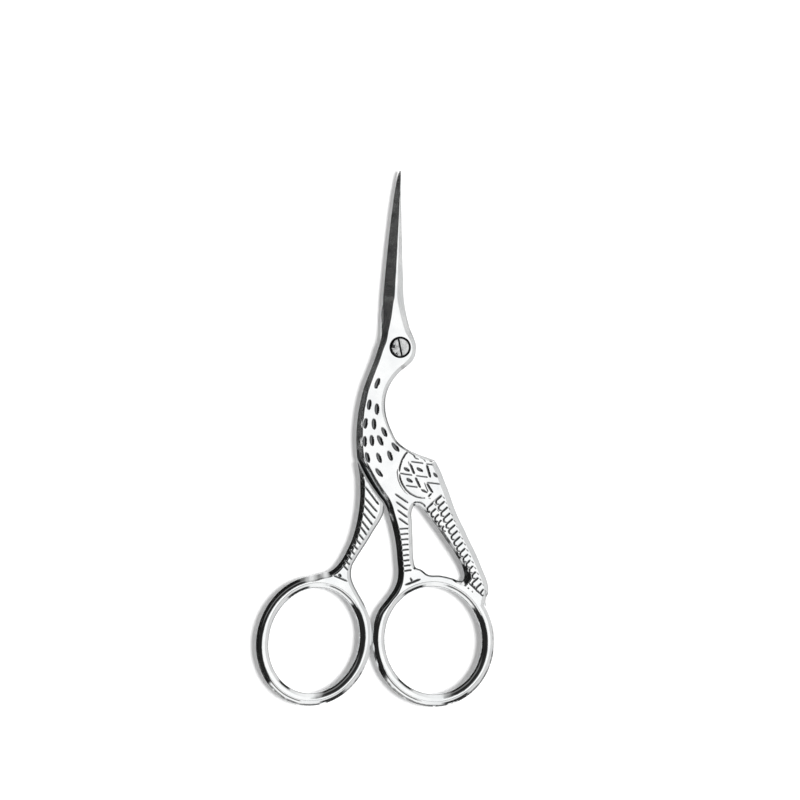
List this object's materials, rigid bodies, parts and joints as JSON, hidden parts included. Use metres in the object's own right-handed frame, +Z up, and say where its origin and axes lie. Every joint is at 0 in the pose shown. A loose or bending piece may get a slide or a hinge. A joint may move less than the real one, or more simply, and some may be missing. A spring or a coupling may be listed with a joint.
{
  "type": "stork embroidery scissors",
  "caption": "Small embroidery scissors shaped like a standing stork, with a screw pivot at the eye, fine pointed blades and oval finger bows.",
  "frame": {"origin": "on the pivot axis at the underside of the closed scissors lying flat", "axes": "+Y towards the blade tips, +X towards the front half's finger bow, +Z up out of the front face"},
  "size_m": [0.0505, 0.114, 0.0034],
  "materials": {
    "front_steel": "nickel-plated steel, mirror polished, engraved",
    "back_steel": "nickel-plated steel, mirror polished, engraved",
    "screw_steel": "ground steel, worn by the screwdriver"
  },
  "bodies": {
    "back": {"back_half": "back_steel", "pivot_screw": "screw_steel"},
    "front": {"front_half": "front_steel"}
  },
  "joints": [
    {"name": "pivot", "type": "hinge", "parent": "back", "child": "front", "pos_m": [0, 0, 0.0017], "axis": [0, 0, 1], "range_deg": [0, 150]}
  ]
}
